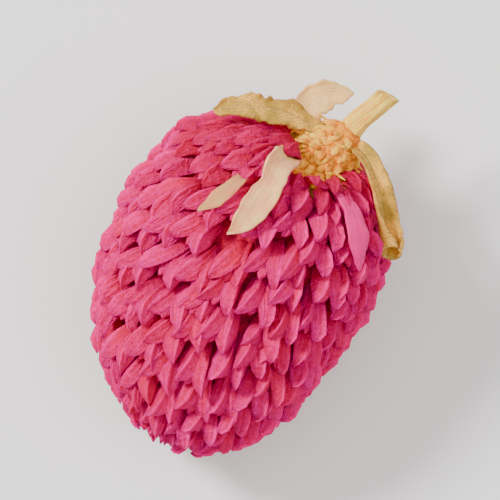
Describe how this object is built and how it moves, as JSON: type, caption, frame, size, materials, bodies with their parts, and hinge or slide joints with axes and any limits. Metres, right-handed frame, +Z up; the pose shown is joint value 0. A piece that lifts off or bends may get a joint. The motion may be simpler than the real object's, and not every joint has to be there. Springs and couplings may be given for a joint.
{
  "type": "dried globe amaranth flower head",
  "caption": "Dried globe amaranth head lying on its side, with keeled papery crimson bracts, a woolly straw-coloured receptacle, a short stalk stub and two dried leafy bracts.",
  "frame": {"origin": "on the surface it lies on, under the middle of the whole piece", "axes": "+X along the head towards the stalk's cut end, +Y across the head towards the flat leafy bract, +Z up"},
  "size_m": [0.033, 0.0218, 0.021],
  "materials": {
    "crimson_bracts": "dry papery bracts, satin outer faces and pale crests",
    "straw_receptacle": "woolly and fibrous, matt, cream at the cut stalk",
    "dried_leaf": "dried leaf, matt, olive to straw with a pale midrib",
    "faded_bract": "faded papery cream with a pink tinge",
    "mauve_bract": "faded papery mauve-pink, satin"
  },
  "bodies": {
    "root": {"flower_head": "crimson_bracts", "receptacle_and_stalk": "straw_receptacle", "leaf_bract_curled": "dried_leaf", "leaf_bract_flat": "dried_leaf", "faded_bract_over_head": "faded_bract", "faded_bract_behind": "faded_bract", "faded_bract_side": "mauve_bract", "faded_bract_small": "faded_bract"}
  },
  "joints": []
}
